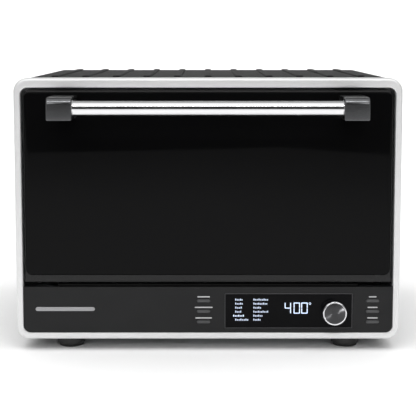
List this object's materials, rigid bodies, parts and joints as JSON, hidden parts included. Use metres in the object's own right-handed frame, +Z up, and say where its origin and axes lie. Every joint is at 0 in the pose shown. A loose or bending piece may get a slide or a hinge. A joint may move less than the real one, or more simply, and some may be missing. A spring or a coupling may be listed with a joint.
{
  "type": "toaster oven",
  "caption": "Countertop convection toaster oven with a drop-down glass door, bar handle, and a control panel with display, dial and push buttons below it.",
  "frame": {"origin": "on the table, under the middle of the object's bounding box", "axes": "+X to the right seen from the front, +Y to the back (the door faces -Y), +Z up"},
  "size_m": [0.47, 0.4316, 0.3368],
  "materials": {
    "satin_silver": "satin silver, fine horizontal brushing",
    "charcoal_skin": "matte charcoal powder coat",
    "galvanised": "plain galvanised sheet",
    "cavity_steel": "aluminised oven sheet, matte",
    "zinc_screw": "zinc plated",
    "foot_rubber": "matte black rubber",
    "spacer_plastic": "matte black moulding",
    "seal_silicone": "matte black silicone",
    "heater_sheath": "heat-darkened sheath",
    "insulator": "unglazed steatite",
    "fan_aluminium": "pressed aluminium",
    "motor_steel": "laminated stack, lacquered",
    "lamp_glass": "clear ribbed lens",
    "bulb_glass": "frosted bulb",
    "lamp_metal": "drawn cup",
    "probe_steel": "stainless tube",
    "cutout_body": "phenolic body",
    "panel_plastic": "satin charcoal",
    "window_black": "black, high gloss",
    "display_body": "black moulding",
    "board_green": "green circuit board",
    "switch_black": "black",
    "button_plastic": "satin grey",
    "encoder_steel": "plain",
    "knob_chrome": "polished rim, black flank",
    "knob_black": "spun face, black anodised",
    "plate_grey": "blank bar, satin",
    "parts_black": "black and blue housings",
    "ribbon_grey": "grey flat cable",
    "door_black": "black, satin",
    "door_glass": "black tinted glass, high gloss",
    "clear_glass": "clear tempered glass",
    "liner_steel": "pressed inner cover, matte",
    "handle_chrome": "polished tube",
    "gunmetal": "satin gunmetal",
    "hinge_steel": "plain stamped steel",
    "rack_chrome": "nickel-chrome wire",
    "pan_coating": "dark non-stick",
    "basket_steel": "stainless, punched"
  },
  "bodies": {
    "casing": {"front_bezel": "satin_silver", "outer_wrapper": "charcoal_skin", "rear_panel": "charcoal_skin", "base_pan": "galvanised", "front_frame": "galvanised", "cavity_supports": "galvanised", "heat_shields": "galvanised", "cavity_liner": "cavity_steel", "fan_baffle": "cavity_steel", "rack_guides": "cavity_steel", "case_screws": "zinc_screw", "feet": "foot_rubber", "rear_spacers": "spacer_plastic", "cord_gland": "spacer_plastic", "door_seal": "seal_silicone", "bottom_heaters": "heater_sheath", "top_heaters": "heater_sheath", "heater_insulators": "insulator", "fan_motors": "motor_steel", "lamp_lens": "lamp_glass", "lamp_housing": "lamp_metal", "lamp_bulb": "bulb_glass", "temperature_probe": "probe_steel", "thermal_cutout": "cutout_body", "control_panel": "panel_plastic", "display_window": "window_black", "display_module": "display_body", "control_board": "board_green", "tact_switches": "switch_black", "rotary_encoder": "encoder_steel", "name_plate": "plate_grey", "power_board": "board_green", "power_parts": "parts_black", "ribbon_cable": "ribbon_grey", "hinge_brackets": "hinge_steel"},
    "door": {"door_frame": "door_black", "door_glass": "door_glass", "door_liner": "liner_steel", "inner_glass": "clear_glass", "handle_bar": "handle_chrome", "handle_brackets": "gunmetal", "handle_screws": "zinc_screw", "hinge_pins": "zinc_screw", "check_arms": "hinge_steel"},
    "rack_and_pan": {"wire_rack": "rack_chrome", "baking_pan": "pan_coating"},
    "basket": {"air_fry_basket": "basket_steel", "basket_floor": "basket_steel"},
    "crumb_drawer": {"crumb_tray": "pan_coating"},
    "knob": {"knob_body": "knob_chrome", "knob_face": "knob_black", "encoder_shaft": "encoder_steel"},
    "left_fan": {"left_fan_rotor": "fan_aluminium"},
    "right_fan": {"right_fan_rotor": "fan_aluminium"},
    "function_button_key": {"function_button": "button_plastic"},
    "temperature_button_key": {"temperature_button": "button_plastic"},
    "time_button_key": {"time_button": "button_plastic"},
    "start_button_key": {"start_button": "button_plastic"},
    "cancel_button_key": {"cancel_button": "button_plastic"},
    "preset_button_key": {"preset_button": "button_plastic"}
  },
  "joints": [
    {"name": "door_hinge", "type": "hinge", "parent": "casing", "child": "door", "pos_m": [0, -0.1522, 0.09], "axis": [1, 0, 0], "range_deg": [0, 90]},
    {"name": "rack_slide", "type": "slide", "parent": "casing", "child": "rack_and_pan", "axis": [0, -1, 0], "range_m": [0, 0.112]},
    {"name": "basket_slide", "type": "slide", "parent": "casing", "child": "basket", "axis": [0, -1, 0], "range_m": [0, 0.112]},
    {"name": "crumb_tray_slide", "type": "slide", "parent": "casing", "child": "crumb_drawer", "axis": [0, -1, 0], "range_m": [0, 0.19]},
    {"name": "knob_turn", "type": "hinge", "parent": "casing", "child": "knob", "pos_m": [0.1546, -0.1584, 0.04965], "axis": [0, -1, 0], "continuous": true},
    {"name": "left_fan_spin", "type": "hinge", "parent": "casing", "child": "left_fan", "pos_m": [-0.095, 0.1625, 0.1927], "axis": [0, 1, 0], "continuous": true},
    {"name": "right_fan_spin", "type": "hinge", "parent": "casing", "child": "right_fan", "pos_m": [0.095, 0.1625, 0.1927], "axis": [0, 1, 0], "continuous": true},
    {"name": "function_button_press", "type": "slide", "parent": "casing", "child": "function_button_key", "axis": [0, 1, 0], "range_m": [0, 0.001], "stiffness_N_per_m": 400, "springref_m": -0.0005},
    {"name": "temperature_button_press", "type": "slide", "parent": "casing", "child": "temperature_button_key", "axis": [0, 1, 0], "range_m": [0, 0.001], "stiffness_N_per_m": 400, "springref_m": -0.0005},
    {"name": "time_button_press", "type": "slide", "parent": "casing", "child": "time_button_key", "axis": [0, 1, 0], "range_m": [0, 0.001], "stiffness_N_per_m": 400, "springref_m": -0.0005},
    {"name": "start_button_press", "type": "slide", "parent": "casing", "child": "start_button_key", "axis": [0, 1, 0], "range_m": [0, 0.001], "stiffness_N_per_m": 400, "springref_m": -0.0005},
    {"name": "cancel_button_press", "type": "slide", "parent": "casing", "child": "cancel_button_key", "axis": [0, 1, 0], "range_m": [0, 0.001], "stiffness_N_per_m": 400, "springref_m": -0.0005},
    {"name": "preset_button_press", "type": "slide", "parent": "casing", "child": "preset_button_key", "axis": [0, 1, 0], "range_m": [0, 0.001], "stiffness_N_per_m": 400, "springref_m": -0.0005}
  ],
  "couplings": [
    {"joint": "rack_slide", "follows": "door_hinge", "m_per_rad": 0.07},
    {"joint": "basket_slide", "follows": "door_hinge", "m_per_rad": 0.07}
  ]
}
